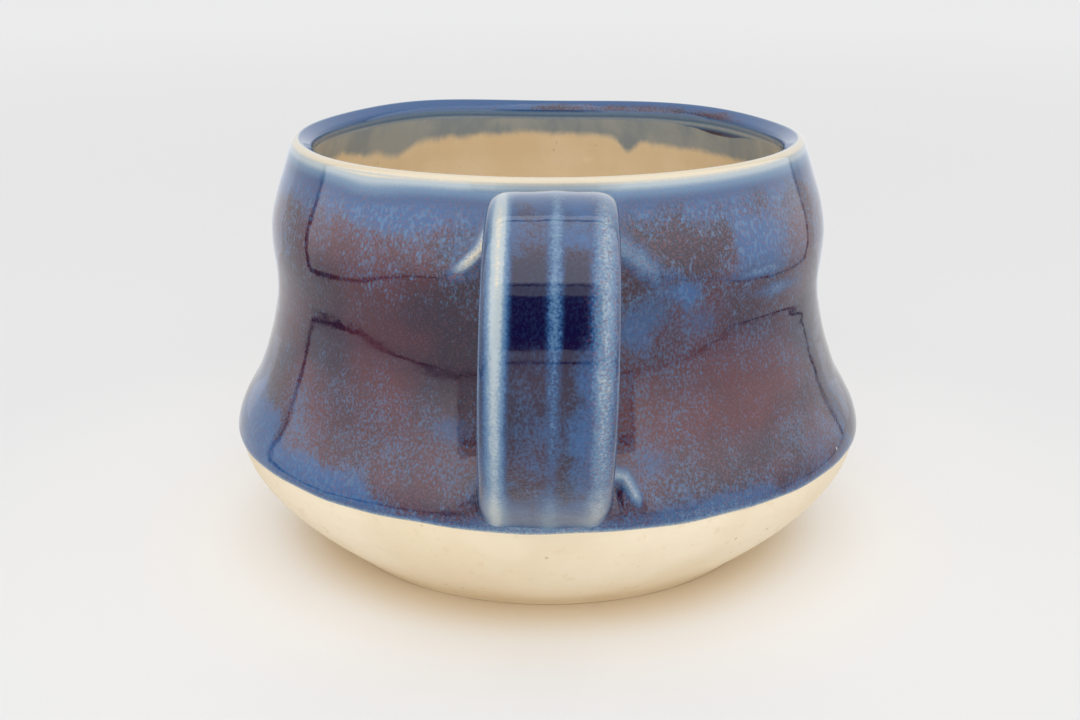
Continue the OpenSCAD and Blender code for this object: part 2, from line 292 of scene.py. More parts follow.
def newGroup(name, values, outs):  # it takes a position and values, and puts out values
    tree = bpy.data.node_groups.new(name, "ShaderNodeTree")
    tree.interface.new_socket(name="Position", in_out="INPUT", socket_type="NodeSocketVector")
    for label, way in [*((label, "INPUT") for label in values), *((label, "OUTPUT") for label in outs)]:
        tree.interface.new_socket(name=label, in_out=way, socket_type="NodeSocketFloat")
    return tree, tree.nodes.new("NodeGroupInput").outputs, tree.nodes.new("NodeGroupOutput").inputs


def useGroup(tree, group, at, **values):
    return addNode(tree, "Group", {"Position": at, **values}, node_tree=group).outputs


def position(tree):
    return addNode(tree, "TexCoord").outputs["Object"]


def mask(tree, label):
    return addNode(tree, "Attribute", attribute_name=label).outputs["Fac"]


def newMaterial(name):
    material = bpy.data.materials.new(name)
    material.use_nodes = True
    return material, material.node_tree, material.node_tree.nodes["Principled BSDF"]


def makeSurface(tree, shader, tone, gloss, height, depth):
    bump = addNode(tree, "Bump", {"Height": height, "Distance": depth, "Strength": 1.0}).outputs[0]
    for label, value in {"Base Color": tone, "Roughness": gloss, "Normal": bump}.items():
        tree.links.new(value, shader.inputs[label])


# Rutile mottle: fine blue specks in a brown glaze, larger drops, and patches where they crowd together
mottleLook = {
    # noises here and below: [scale, detail, roughness, warp, how each axis is scaled first]
    "noises": {"clouds": (48, 2, 0.5, 0.4), "blotches": (190, 3, 0.55, 0.4, (1, 1, 0.7)),
               "fine": (2500, 1.5, 0.5, 0.1, (1, 1, 0.7)), "drops": (1450, 1, 0.5, 0.2, (1, 1, 0.62)),
               "veins": (2300, 2, 0.5, 0.3, (1, 1, 1.3))},
    # what goes into each effect, where it begins and is full, and how strong that is
    "effects": {"Specks": ({"fine": 1, "blotches": 0.45, "clouds": 0.3, "Blue": 0.2}, 0.8, 1.17, 1),
                "Drops": ({"drops": 1, "blotches": 0.3, "Blue": 0.09}, 0.73, 0.89, 1),
                "Patches": ({"blotches": 0.7, "Blue": 0.42, "fine": 0.22}, 0.56, 0.9, 0.9),
                "Veins": ({"veins": 1}, 0.5, 0.64, 1)},
}


def makeMottleGroup():
    tree, given, out = newGroup("rutileMottle", ["Blue"], [*mottleLook["effects"], "Clouds"])
    source = {label: noiseOf(tree, given["Position"], *look) for label, look in mottleLook["noises"].items()}
    source["Blue"] = given["Blue"]
    for label, (shares, low, high, full) in mottleLook["effects"].items():
        level = weighted(tree, [(source[part], share) for part, share in shares.items()])
        tree.links.new(ease(tree, level, low, high, 0, full), out[label])
    tree.links.new(source["clouds"], out["Clouds"])
    return tree


# Where the glaze runs thin over an edge it turns clear blue, then pale, then breaks to cream
breakLook = {
    "uneven": (620, 3, 0.6, 0.2, (1, 1, 0.3)), "fine": (2300, 1.5),
    "unevenShare": 0.5, "fineShare": 0.9, "middle": 0.7,
    # how thin the coat is where each tone begins and is full
    "tones": {"Clear": (0.06, 0.3), "Soft": (0.2, 0.46), "Pale": (0.42, 0.74), "Cream": (0.78, 0.96)},
}


def makeBreakGroup():
    tree, given, out = newGroup("paleBreak", ["Thin", "Fray"], breakLook["tones"])
    uneven, fine = (noiseOf(tree, given["Position"], *breakLook[label]) for label in ("uneven", "fine"))
    parts = [(uneven, breakLook["unevenShare"]), (fine, breakLook["fineShare"])]
    sway = weighted(tree, parts, -breakLook["middle"])
    level = calc(tree, "MULTIPLY_ADD", sway, given["Fray"], given["Thin"])
    for label, (low, high) in breakLook["tones"].items():
        tree.links.new(ease(tree, level, low, high), out[label])
    return tree


# The skin of a fired glaze: a soft unevenness, pinholes and a few white flecks
skinLook = {
    "soft": (260,), "gloss": (130, 3, 0.6), "glossEdges": (0.3, 0.75), "roughness": (0.05, 0.13),
    "spots": (230, 0.09, 0.03), "pitted": (0.86, 0.9), "flecked": (0.93, 0.96), "pitDepth": 1.5,
}


def makeSkinGroup():
    tree, given, out = newGroup("glazeSkin", [], ["Height", "Roughness", "Flecks"])
    at, look = given["Position"], skinLook
    near, kinds = spotsOf(tree, at, *look["spots"])
    pits = times(tree, near, ease(tree, kinds["Red"], *look["pitted"]))
    height = calc(tree, "MULTIPLY_ADD", pits, -look["pitDepth"], noiseOf(tree, at, *look["soft"]))
    tree.links.new(height, out["Height"])
    gloss = ease(tree, noiseOf(tree, at, *look["gloss"]), *look["glossEdges"], *look["roughness"])
    tree.links.new(gloss, out["Roughness"])
    tree.links.new(times(tree, near, ease(tree, kinds["Green"], *look["flecked"])), out["Flecks"])
    return tree


# Tan liner, cloudy and finely specked
liner = {
    "tan": colour(235, 212, 173), "light": colour(240, 221, 187), "speck": colour(196, 166, 124),
    "thickness": 0.4, "top": 66.5, "rows": 70, "floorRows": 34,
    # the spiral of the potter's finger on the floor: (size, spacing), from and to what radius
    "spiral": (0.16, 7.5), "spiralFrom": (2, 8), "spiralTo": (54, 30), "raised": 0.05, "raisedTo": (24, 10),
    "clouds": (60, 3, 0.6), "cloudEdges": (0.35, 0.65),
    "specks": (1100,), "speckEdges": (0.68, 0.78), "speckStrength": 0.6,
    "gloss": (90,), "glossEdges": (0.3, 0.7), "roughness": (0.16, 0.28), "skinDepth": 4e-5, "ior": 1.5,
}


def makeTanGroup():
    tree, given, out = newGroup("tanClouds", [], ["Clouds", "Specks"])
    clouds = noiseOf(tree, given["Position"], *liner["clouds"])
    tree.links.new(ease(tree, clouds, *liner["cloudEdges"]), out["Clouds"])
    specks = noiseOf(tree, given["Position"], *liner["specks"])
    tree.links.new(ease(tree, specks, *liner["speckEdges"], 0, liner["speckStrength"]), out["Specks"])
    return tree


mottleGroup = makeMottleGroup()
tanGroup = makeTanGroup()
breakGroup = makeBreakGroup()
skinGroup = makeSkinGroup()


def tanTone(tree, at):
    look = useGroup(tree, tanGroup, at)
    tone = blend(tree, look["Clouds"], liner["tan"], liner["light"])
    return blend(tree, look["Specks"], tone, liner["speck"])


# Blue glaze. Every coat of it shares this recipe; inner adds the run inside the lip.
blueGlaze = {
    "brown": colour(87, 40, 45), "deepBrown": colour(47, 25, 42), "navy": colour(14, 11, 50),
    "speck": colour(67, 108, 149), "drop": colour(82, 124, 163), "periwinkle": colour(40, 87, 140),
    "vein": colour(118, 74, 84), "clear": colour(42, 78, 124), "soft": colour(92, 124, 156),
    "pale": colour(172, 184, 190), "cream": colour(222, 208, 181), "fleck": colour(200, 202, 200),
    "runGrey": colour(162, 169, 170), "runEdge": colour(140, 153, 162),
    "skinDepth": 3e-5, "brownEdges": (0.35, 0.65),
    # how much of each shows, as the fall with its mask and the share without it
    "fray": (-0.42, 0.48), "specks": (-0.68, 0.75), "drops": (-0.8, 0.62), "dullness": 0.3,
    "frayFrom": (0.03, 0.25),  # the thinness at which the coat begins to fray
    # the run: its noises and their shares, and where grey and blue take over from tan
    "broad": (110, 4, 0.6, 0.4, (1, 1, 0.6)), "streaks": (420, 3, 0.6, 0.2, (1, 1, 0.15)),
    "broadShare": 0.95, "streakShare": 0.25, "middle": 0.6, "greyFrom": (0.15, 0.75), "blueFrom": (0.8, 1.3),
    "ior": 1.55,
}


def greyRun(tree, at, tone):  # below the lip the blue thins to a grey run over the tan liner
    look = blueGlaze
    broad, streaks = (noiseOf(tree, at, *look[label]) for label in ("broad", "streaks"))
    sway = weighted(tree, [(broad, look["broadShare"]), (streaks, look["streakShare"])], -look["middle"])
    grey = blend(tree, ease(tree, broad, *look["brownEdges"]), look["runGrey"], look["runEdge"])
    run, over = (calc(tree, "ADD", mask(tree, label), sway) for label in ("run", "over"))
    below = blend(tree, ease(tree, run, *look["greyFrom"]), tanTone(tree, at), grey)
    return blend(tree, ease(tree, over, *look["blueFrom"]), below, tone)


def makeBlueGlaze(name, inner):
    material, tree, shader = newMaterial(name)
    at, look = position(tree), blueGlaze
    thin, pool, calm = (mask(tree, label) for label in ("thin", "pool", "calm"))
    mottle = useGroup(tree, mottleGroup, at, Blue=mask(tree, "blue"))
    frayed = ease(tree, thin, *look["frayFrom"])
    fray = times(tree, frayed, calc(tree, "MULTIPLY_ADD", calm, *look["fray"]))
    broken = useGroup(tree, breakGroup, at, Thin=thin, Fray=fray)
    skin = useGroup(tree, skinGroup, at)
    specks, drops = (calc(tree, "MULTIPLY_ADD", pool, *look[label]) for label in ("specks", "drops"))
    specks = times(tree, specks, mottle["Specks"])
    drops = times(tree, drops, mottle["Drops"], calc(tree, "SUBTRACT", 1.0, calm))
    veins = times(tree, mottle["Veins"], mask(tree, "veined"))
    tone = blend(tree, ease(tree, mottle["Clouds"], *look["brownEdges"]), look["deepBrown"], look["brown"])
    # the navy layer follows the pool mask: pooled glaze, with painted shade in the creases by the strap's
    # roots and a painted dark reflection across the strap's middle
    layers = [(pool, "navy"), (specks, "speck"), (mottle["Patches"], "periwinkle"), (drops, "drop"),
              (broken["Clear"], "clear"), (broken["Soft"], "soft"), (broken["Pale"], "pale"),
              (veins, "vein"), (broken["Cream"], "cream"), (skin["Flecks"], "fleck")]
    for share, over in layers:
        tone = blend(tree, share, tone, look[over])
    if inner:
        tone = greyRun(tree, at, tone)
    dull = calc(tree, "MULTIPLY_ADD", mask(tree, "dull"), look["dullness"], skin["Roughness"])
    makeSurface(tree, shader, tone, dull, skin["Height"], look["skinDepth"])
    shader.inputs["IOR"].default_value = look["ior"]
    return material


def makeLinerGlaze():
    material, tree, shader = newMaterial("tanLiner")
    at = position(tree)
    gloss = ease(tree, noiseOf(tree, at, *liner["gloss"]), *liner["glossEdges"], *liner["roughness"])
    height = useGroup(tree, skinGroup, at)["Height"]
    makeSurface(tree, shader, tanTone(tree, at), gloss, height, liner["skinDepth"])
    shader.inputs["IOR"].default_value = liner["ior"]
    return material


# Bare stoneware
clay = {
    "cream": colour(233, 215, 184), "light": colour(240, 225, 198), "warm": colour(222, 196, 156),
    "pit": colour(172, 140, 100),
    "broad": (35, 3, 0.6), "lightFrom": (0.35, 0.65),
    "stains": (420, 4, 0.7), "stained": (0.56, 0.75), "stainStrength": 0.55,
    "spots": (330, 0.16, 0.05), "pitted": (0.9, 0.93), "pitTone": 0.6, "pitDepth": 1.2,
    # trimming lines run level round the bowl, so they hardly change along X and Y
    "lines": (900, 3, 0.6, 0, (0.04, 0.04, 1)), "lineShare": 0.8,
    "grain": (1500, 3, 0.6), "grainShare": 0.5, "grainDepth": 5e-5,
    "glossEdges": (0.3, 0.7), "roughness": (0.62, 0.78),
}


def makeBareClay():
    material, tree, shader = newMaterial("bareStoneware")
    at = position(tree)
    broad, stains, lines, grain = (noiseOf(tree, at, *clay[label])
                                   for label in ("broad", "stains", "lines", "grain"))
    spots, kinds = spotsOf(tree, at, *clay["spots"])
    pits = times(tree, spots, ease(tree, kinds["Red"], *clay["pitted"]))
    tone = blend(tree, ease(tree, broad, *clay["lightFrom"]), clay["cream"], clay["light"])
    stained = ease(tree, stains, *clay["stained"], 0, clay["stainStrength"])
    tone = blend(tree, stained, tone, clay["warm"])
    tone = blend(tree, times(tree, pits, clay["pitTone"]), tone, clay["pit"])
    gloss = ease(tree, broad, *clay["glossEdges"], *clay["roughness"])
    parts = [(lines, clay["lineShare"]), (grain, clay["grainShare"]), (pits, -clay["pitDepth"])]
    makeSurface(tree, shader, tone, gloss, weighted(tree, parts), clay["grainDepth"])
    return material


wallMaterial = makeBlueGlaze("wallBlue", False)
lipMaterial = makeBlueGlaze("lipBlue", True)
strapMaterial = makeBlueGlaze("strapBlue", False)
linerMaterial = makeLinerGlaze()
clayMaterial = makeBareClay()
print("materials made")


# The blue coat on the wall
coat = {
    "thickness": 0.5, "lineHeight": 22.9, "lowRows": (0.06, 22), "rows": 110,
    "rounding": 0.35, "swelling": (0.15, 1.2, 0.9),  # over the lower edge
    # how the line strays: (waves round the pot, size, turn), and its dips: (bearing, spread, drop)
    "lineWaves": [(3, 0.18, 1.0), (7, 0.12, 0.3), (13, 0.08, 2.0), (29, 0.05, 1.2)],
    "lineDips": [(-93, 12, -0.55), (-60, 9, 0.1)],
    "blue": 0.05, "lipBlue": (0.54, 66, 76), "lineBlue": (0.4, 24, 1.6),
    # blue patches: (bearing, spread, height, spread, strength)
    "patches": [
        (-121, 13, 73.5, 3.6, 0.85), (-115, 10, 38, 6, 0.35), (-70, 8, 30, 4, 0.35), (-74, 5, 58, 6, 0.2),
        (-46, 9, 66.5, 5, 1.1), (-64, 4, 61, 5, 0.8), (-62, 5.5, 67.5, 2.8, -0.9), (-126, 25, 52, 6, -0.5),
        (-134, 15, 26, 3, 1.6), (-112, 4, 27, 3, -0.9), (-103, 4, 29, 3, 0.4), (-42, 6, 33, 4, 0.6),
        (-112, 9, 64, 5, -0.3), (-135, 8, 63, 6, -0.5), (-104, 8, 68, 7, 0.3), (-72, 8, 69, 7, 0.15),
        (-60, 9, 25.5, 2.5, 0.6), (-120, 22, 42, 9, -0.35), (-57, 14, 44, 8, -0.25), (-105, 5, 60, 4, 0.35),
        (-75, 5, 55, 5, 0.4), (-48, 15, 38, 8, -0.8), (-22, 10, 30, 6, 0.4), (-66, 4, 61, 1.5, 0.4),
        (-73, 6, 52, 6, 0.25), (-118, 16, 53, 7, -0.5), (-160, 12, 74, 4, 0.7), (-156, 11, 29, 6, 1.0),
        (-100, 16, 47, 6, -0.4), (-45, 12, 48, 7, 0.15), (20, 14, 60, 9, 0.7), (75, 18, 70, 5, 0.8),
        (110, 10, 45, 8, 0.6), (150, 16, 66, 6, 0.8), (190, 12, 36, 8, 0.5), (60, 9, 38, 6, -0.4),
        (165, 20, 50, 8, -0.4)],
    # pale drifts, added to the thin mask: (bearing, spread, height, spread, amount). The drift at -91, under
    # the strap's foot, is painted light that lifts the strap's shade there.
    "drifts": [
        (-46, 9, 62, 1.1, 0.36), (-44, 5, 64.2, 0.8, 0.21), (-60, 5, 55, 4, 0.18), (-70, 4, 57, 4, 0.21),
        (-40, 9, 58, 1.6, 0.3), (-107, 5, 38, 3, 0.21), (-72, 5, 33, 3, 0.18), (-128, 8, 77, 3, 0.15),
        (-36, 7, 29, 4, 0.12), (-63, 12, 25, 1.5, 0.21), (-91, 9, 24.4, 1.2, 0.375), (60, 12, 63, 1.4, 0.3),
        (140, 10, 55, 2, 0.27), (5, 10, 50, 2, 0.24)],
    # thin over the line and under the lip: (thinness, start, reach)
    "lineThin": [(0.85, 0, 0.75), (0.3, 0, 1.8)], "lipThin": (0.98, 0.25, 2.3),
    "linePool": (0.35, 3, 2), "waistPool": (0.42, 54, 9),
    "veins": 0.2, "moreVeins": [(0.28, 60, 68), (0.15, 46, 38)], "veinEnd": (0, 5),
    # calm parts have no drops
    "lipCalm": (6, 2.5), "smearCalm": (0.2, 0.1, 0.4), "middleCalm": (0.7, 26, 32), "middleEnd": (54, 46),
    "smearsFrom": (0.2, 2.5), "smearsTo": (0, 3),
}


def blueLean(angle, z):  # where the wall is bluer, and under the lip and over the line
    lean = patched(angle, z, coat["patches"]) + ramp(z, *coat["lipBlue"])
    return lean + hump(z, *coat["lineBlue"]) + coat["blue"]


# Clay smeared onto the wall as the strap was joined. A ridge has places as (across, height), then its
# height, width and how thin the coat runs on it. At the roots the wall swells up to the strap: (across,
# height, half sizes, swell, reach). Dark pockets, pooled glaze with painted shade in the creases by the
# strap's roots, and red blush: (across, height, spreads, strength).
smears = {
    "ridges": [([(-9.4, 71.8), (-10.8, 69), (-13.2, 66.5), (-17.2, 63.6)], 1.1, 1.5, 0.94),
               ([(11, 70), (13.8, 67.8), (16.8, 65), (20.6, 61.4)], 0.45, 3.3, 0.4),
               ([(9.8, 32.6), (12.6, 31.6), (14.6, 28.6), (16.2, 26)], 1.0, 1.6, 0.56),
               ([(-10.8, 32), (-12.6, 29.5), (-14.2, 26)], 0.7, 1.6, 0.16)],
    # where along a ridge its height and thin coat fade out, and how wide the thin coat is
    "ridgeEnd": (1.1, 0.5), "thinEnd": (1.05, 0.6), "thinWidth": 0.7,
    "roots": [(1, 71.5, 9.2, 3.2, 2.0, 1.8), (-0.5, 28.4, 9.8, 2.6, 1.2, 1.3)], "rootPower": 1.3,
    "creasePoolsAndShade": [(-11.4, 29, 1.2, 3, 0.9), (11.6, 28, 1.1, 2.4, 0.7), (-11.2, 73, 1.2, 2.5, 0.6),
                (12, 73, 1.2, 2.5, 0.6), (-15, 63.4, 3, 1.2, 0.5)],
    "blush": [(-14.6, 64.3, 2.4, 1.2, 1.6), (-11.0, 66.0, 1.3, 1.8, 1.3)], "blushThin": 0.2,
}


def smearSpots(x, z, kind):
    return [strong * bell(x, xc, wide) * bell(z, zc, tall) for xc, zc, wide, tall, strong in smears[kind]]


def smeared(x, z, onHandleSide):  # height of the smears; how thin and red the coat is, and its pooled glaze with painted shade in the creases
    up, thin = np.zeros_like(x), np.zeros_like(x)
    for path, height, width, strong in smears["ridges"]:
        nearest, fade = np.full_like(x, np.inf), np.ones_like(x)
        for i, ((xa, za), (xb, zb)) in enumerate(zip(path, path[1:])):
            length = (xb - xa) ** 2 + (zb - za) ** 2
            along = np.clip(((x - xa) * (xb - xa) + (z - za) * (zb - za)) / length, 0, 1)
            away = np.hypot(x - xa - along * (xb - xa), z - za - along * (zb - za))
            fade = np.where(away < nearest, (i + along) / (len(path) - 1), fade)
            nearest = np.minimum(nearest, away)
        up = up + height * smooth(*smears["ridgeEnd"], fade) * bell(nearest, 0, width)
        thinned = strong * smooth(*smears["thinEnd"], fade) * bell(nearest, 0, width * smears["thinWidth"])
        thin = np.maximum(thin, thinned)
    for xc, zc, halfX, halfZ, swell, reach in smears["roots"]:
        away = np.hypot(np.maximum(np.abs(x - xc) - halfX, 0), np.maximum(np.abs(z - zc) - halfZ, 0))
        up = up + swell * np.exp(-(away / reach) ** smears["rootPower"])
    red = sum(smearSpots(x, z, "blush"))
    thin = np.maximum(thin, smears["blushThin"] * red)
    # pooled glaze with painted shade in the creases by the strap's roots
    pool = np.maximum.reduce(smearSpots(x, z, "creasePoolsAndShade"))
    return [value * onHandleSide for value in (up, thin, pool, red)]


def makeWallCoat():
    low, lowRows = coat["lowRows"]  # closer rows just above the line
    share = np.hstack([np.linspace(0, low, lowRows)[:-1], np.linspace(low, 1, coat["rows"])])[:, None]
    line = coat["lineHeight"] + waved(theta, coat["lineWaves"]) + swelled(theta, coat["lineDips"])
    z = line + (lipStart[1] - line) * share
    above, toCrest = z - line, lipStart[1] - z
    rounded = 1 - np.exp(-above / coat["rounding"])
    lift = coat["thickness"] * rounded * (1 + hump(above, *coat["swelling"]))
    outside = placed(*alongCurve(outerWall, z, lift), theta)
    inside = placed(*alongCurve(outerWall, z[::-1], -sink), theta)
    front = (outside[..., 1] < 0) * smooth(*coat["smearsFrom"], above)
    swell, smearThin, creasePoolAndShade, blush = smeared(outside[..., 0], outside[..., 2], front)
    swell = swell * smooth(*coat["smearsTo"], toCrest)
    outside[..., 0] += swell * np.cos(theta)
    outside[..., 1] += swell * np.sin(theta)
    thin = [fading(toCrest, *coat["lipThin"]) * creamShare, smearThin,
            *(fading(above, *look) for look in coat["lineThin"])]
    pool = hump(above, *coat["linePool"]) + hump(z, *coat["waistPool"])
    veined = coat["veins"] + ramps(z, coat["moreVeins"])
    calm = [smooth(*coat["lipCalm"], toCrest), ramp(smearThin, *coat["smearCalm"]),
            ramp(z, *coat["middleCalm"]) * smooth(*coat["middleEnd"], z)]
    # the pool mask takes in the painted crease shade by the strap's roots
    masks = {"thin": np.maximum.reduce(thin) + patched(theta, z, coat["drifts"]),
             "blue": blueLean(theta, z), "pool": np.maximum(pool, creasePoolAndShade),
             "veined": np.maximum(veined * smooth(*coat["veinEnd"], toCrest), blush),
             "calm": np.maximum.reduce(calm)}
    rows = np.vstack([outside, inside])
    gridPiece("wallCoat", rows, True, bothFaces(masks), wallMaterial, ["outer_glaze"])


# The blue coat over the lip and down inside
lip = {
    "arcRows": (16, 14), "rows": 26,
    # cream on the outer rounding, by its angle, and a pale line at the inner edge
    "creamEnd": (114, 90), "cream": 0.86, "creamGain": (0.12, 15, 45), "innerPale": (0.6, 190, 28),
    "lowPale": (0.75, 76.4, 0.9),
    # the run ends at runTo, and hangs low in drips: (bearing, spread, drop)
    "runTo": 66.5, "runHeight": 72, "runSpread": 2.6, "runEnd": (0.8, 67.8, 66.5),
    "drips": [(92, 30, 0.9), (68, 2.5, -2.8), (60, 10, -1.2), (42, 14, -1.8), (25, 10, -1.2), (135, 7, -3.6),
              (146, 4, -1.5), (200, 15, -1.0), (240, 12, -2.0), (300, 14, -1.4), (335, 8, -2.2)],
    # the full blue ends between these heights, and hangs low in one place
    "over": (2, 75.2, 77.1), "overHangs": [(37, 10, 1.5)],
    # where the glaze inside the lip stays maroon: (bearing, spread, strength), and between which radii
    "maroon": [(84, 22, 0.85), (60, 8, 0.75), (40, 10, 0.95)], "maroonFrom": (47.3, 45.3),
    "blueHeight": 78, "blue": 0.5, "backBlue": [(150, 40, 0.4)], "pool": 0.25, "veined": 0.15, "calm": 1,
}


def lipOutline(lift, lowLift):  # over the lip and down inside
    arcs, outerArc, innerArc = lipArcs(lift, *lip["arcRows"])
    down = np.linspace(innerStart[1], lip["runTo"], lip["rows"])[1:]
    lowLift = np.interp(down, [lip["runTo"], innerStart[1]], [lowLift, lift])
    return np.hstack([arcs, alongCurve(innerWall, down, -lowLift)]), outerArc, innerArc, down


def makeLipCoat():
    skin, outerArc, innerArc, down = lipOutline(coat["thickness"], liner["thickness"])
    outline = np.hstack([skin, lipOutline(-sink, -sink)[0][:, ::-1]])
    rows = revolved(*outline)
    radius, height = outline[:, :, None]
    cream = smooth(*lip["creamEnd"], outerArc) * (lip["cream"] + ramp(outerArc, *lip["creamGain"]))
    pale = np.hstack([cream, hump(innerArc, *lip["innerPale"]), hump(down, *lip["lowPale"])])
    count, shape = skin.shape[1], rows.shape[:2]
    thin, over = np.zeros(shape), np.full(shape, float(lip["over"][0]))
    thin[:count] = pale[:, None] * creamShare
    over[count - len(down):count] = ramp(down[:, None] + swelled(theta, lip["overHangs"]), *lip["over"])
    hanging = height - lip["runHeight"] - swelled(theta, lip["drips"])
    run = smooth(-lip["runSpread"], lip["runSpread"], hanging) - ramp(height, *lip["runEnd"])
    blue = blueLean(theta, lip["blueHeight"]) + lip["blue"] + swelled(theta, lip["backBlue"])
    blue = blue - swelled(theta, lip["maroon"]) * smooth(*lip["maroonFrom"], radius)
    masks = {"thin": thin, "blue": blue, "run": run, "over": over}
    masks.update((label, lip[label]) for label in ("pool", "veined", "calm"))
    gridPiece("lipCoat", rows, True, masks, lipMaterial, ["rim_glaze"])


def linerOutline(lift):
    up = np.linspace(vessel["belly"][0], liner["top"], liner["rows"])
    return np.hstack([floorCurve(lift, liner["floorRows"]), alongCurve(innerWall, up, -lift)])


def makeLiner():
    skin = linerOutline(liner["thickness"])
    rows = revolved(*np.hstack([skin, linerOutline(-sink)[:, ::-1]]))
    r, z = skin[:, :, None]
    size, pitch = liner["spiral"]
    swirl = size * np.sin(2 * np.pi * r / pitch - theta) * smooth(*liner["spiralFrom"], r)
    swirl = swirl * smooth(*liner["spiralTo"], r) + liner["raised"]
    rows[:len(r), :, 2] += swirl * smooth(*liner["raisedTo"], z)
    gridPiece("linerCoat", rows, False, {}, linerMaterial, ["liner_glaze"])


# The thrown clay, bare below the line and under the foot
body = {
    "bevel": [(0, 0), (0.35, 0.12), (0.62, 0.4)],  # out from the foot, and up
    "middle": 26, "lowRows": 90, "highRows": 60, "arcRows": (8, 8), "insideRows": 50, "floorRows": 24,
    "hollowRows": 40, "ringRows": 6,
    "turning": (0.09, 3.4), "turningFrom": (2, 5),  # turned rings in the hollow: size and spacing
}


def makeClayBody():
    foot, middle = vessel["footRadius"], body["middle"]
    bevelOut, bevelUp = np.transpose(body["bevel"])
    up = np.hstack([np.linspace(vessel["footBevel"], middle, body["lowRows"])[1:],
                    np.linspace(middle, lipStart[1], body["highRows"])[1:]])
    down = np.linspace(innerStart[1], vessel["belly"][0], body["insideRows"])[1:]
    edge = foot - vessel["ringWidth"]
    slope = edge - vessel["hollowSlope"]
    under = np.hstack([np.linspace(0, slope, body["hollowRows"]),
                       np.linspace(slope, edge, body["ringRows"])[1:],
                       np.linspace(edge, foot, body["ringRows"])[1:-1]])
    rows = revolved(*np.hstack([
        (foot + bevelOut, bevelUp), alongCurve(outerWall, up, 0), lipArcs(0, *body["arcRows"])[0],
        alongCurve(innerWall, down, 0), floorCurve(0, body["floorRows"])[:, ::-1],
        (under, vessel["hollowDepth"] * smooth(edge, slope, under))]))
    size, pitch = body["turning"]
    begin, full = body["turningFrom"]
    rings = size * np.sin(2 * np.pi * under / pitch) * smooth(edge - begin, edge - full, under)
    rows[-len(under):, :, 2] += rings[:, None]
    gridPiece("clayBody", rows, True, {}, clayMaterial, ["thrown_body"])


# The pulled strap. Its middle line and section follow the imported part.
strap = {
    "width": 19.2, "lowWidth": 20.4, "thickness": 6.6, "lowThickness": 6, "squareness": 4,
    "ribPitch": 7.4, "ribHeight": 0.4, "ribSoftening": 0.75,
    "upperDrop": 6.5, "upperX": 1, "upperRise": 28, "upperPull": 37,
    "lowerLift": 4.6, "lowerX": -0.5, "lowerRise": 21, "lowerPull": 39,
    # the joints: how far the clay spreads to the sides and how that grows round the strap (base, gain,
    # power), how far it runs past the outer and inner face, how crisply the outer face ends and how far
    # it drops, and how far out the joint begins
    "upper": {"most": 3.4, "least": 0.2, "growth": (0, 1, 2.5), "outer": 1.2, "inner": 4,
              "crisp": 0, "drop": 0, "reach": 8},
    "lower": {"most": 1.6, "least": 0.8, "growth": (1, -0.5, 2), "outer": 0.5, "inner": 3.6,
              "crisp": 1.2, "drop": 0.9, "reach": 8},
    "crispFrom": (-0.4, 0.8), "flareRings": 26, "gather": 1.3,
    # finger ridges on the outer face: across, width, height, and how thin the coat runs at the stages
    # "along" from the upper joint to the lower
    "along": [0.15, 0.22, 0.3, 0.43, 0.54, 0.7, 0.85],
    "ridges": [(-7.8, 1.6, 0.12, [0.5, 0.76, 0.9, 0.84, 0.7, 0.6, 0.42]),
               (0.7, 1.35, 0.08, [0.22, 0.32, 0.44, 0.36, 0.27, 0.2, 0.16]),
               (8.1, 2.1, 0.1, [0.3, 0.42, 0.56, 0.54, 0.54, 0.48, 0.32])],
    "ridgesFrom": (0.3, 0.9), "samples": 1441, "around": 144, "bends": 120,
    # where the coat ends above the wall, and how deep its hidden side and the clay lie
    "coatFoot": 0.1, "hidden": (0.02, 0.05), "clay": -0.05,
}


guides = np.zeros((4, 2))
guides[::3, 1] = vessel["height"] - strap["upperDrop"], vessel["belly"][0] + strap["lowerLift"]
guides[::3, 0] = hermite(outerWall, guides[::3, 1])[0]
guides[1] = around(guides[0], strap["upperPull"], strap["upperRise"])
guides[2] = around(guides[3], strap["lowerPull"], strap["lowerRise"])


def spine(t):
    return np.array([(1 - t) ** 3, 3 * t * (1 - t) ** 2, 3 * t * t * (1 - t), t ** 3]) @ guides


def spineOut(t):
    along = np.array([(1 - t) ** 2, 2 * t * (1 - t), t * t]) @ np.diff(guides, axis=0)
    return np.array([-along[1], along[0]]) / np.linalg.norm(along)


def strapMix(t, low, high):
    return strap[low] + (strap[high] - strap[low]) * t


def strapSection(t, lift, ridged):  # [across, outwards], evenly spaced round the strap
    a = np.linspace(0, 2 * np.pi, strap["samples"])
    halfW = strapMix(t, "width", "lowWidth") / 2 + lift
    halfT = strapMix(t, "thickness", "lowThickness") / 2 + lift
    power = 2 / strap["squareness"]
    x = halfW * np.sign(np.cos(a)) * np.abs(np.cos(a)) ** power
    out = halfT * np.sign(np.sin(a)) * np.abs(np.sin(a)) ** power
    groove = strap["ribHeight"] / 2 * (np.cos(2 * np.pi * x / strap["ribPitch"]) - 1)
    out = out + np.where(out > 0, groove * out / halfT, 0)
    if ridged:
        rise = sum(height * bell(x, place, width) for place, width, height, _ in strap["ridges"])
        rise = rise - strap["ribSoftening"] * groove
        out = out + np.where(out > 0, rise * smooth(*strap["ridgesFrom"], out / halfT), 0)
    run = np.hstack([[0], np.cumsum(np.hypot(np.diff(x), np.diff(out)))])
    even = np.linspace(0, run[-1], strap["around"], endpoint=False)
    return np.interp(even, run, x), np.interp(even, run, out), halfW, halfT


